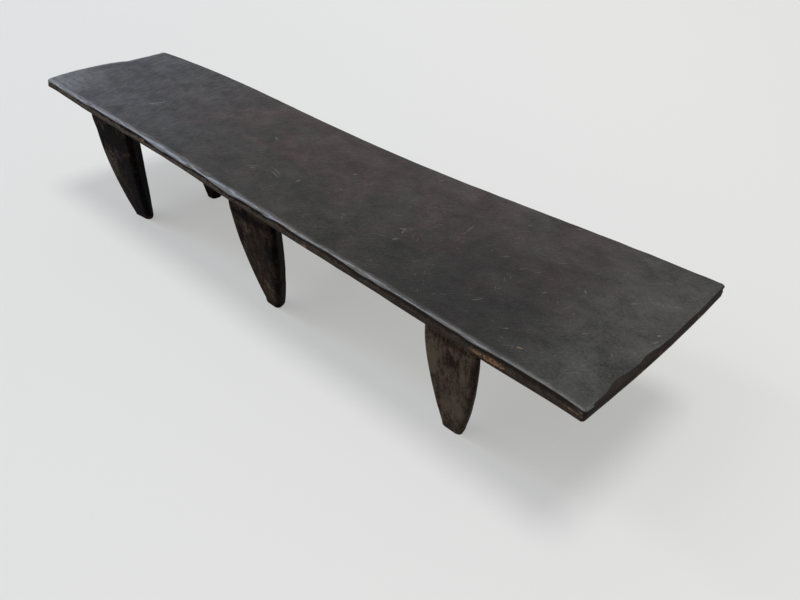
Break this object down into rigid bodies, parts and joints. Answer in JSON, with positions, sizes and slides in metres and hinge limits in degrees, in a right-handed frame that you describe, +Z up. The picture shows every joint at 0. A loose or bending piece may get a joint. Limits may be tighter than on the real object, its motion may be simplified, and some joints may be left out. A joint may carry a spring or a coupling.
{
  "type": "daybed",
  "caption": "Long low carved wooden daybed: a plank that widens and thickens towards one end, on pairs of tapering legs that lean inwards.",
  "frame": {"origin": "centre of the bounding box on the floor, under the middle of the plank", "axes": "+X along the length towards the wide end, +Y from the front edge to the back edge, +Z up"},
  "size_m": [2.141, 0.716, 0.41],
  "materials": {
    "plank_wood": "near-black hardwood, hand-hewn, oiled and worn to a satin sheen",
    "leg_wood": "near-black hardwood, hand-hewn, drier and greyer towards the feet"
  },
  "bodies": {
    "root": {"top_slab": "plank_wood", "leg_narrow_end_front": "leg_wood", "leg_narrow_end_back": "leg_wood", "leg_middle_front": "leg_wood", "leg_middle_back": "leg_wood", "leg_wide_end_front": "leg_wood", "leg_wide_end_back": "leg_wood"}
  },
  "joints": []
}
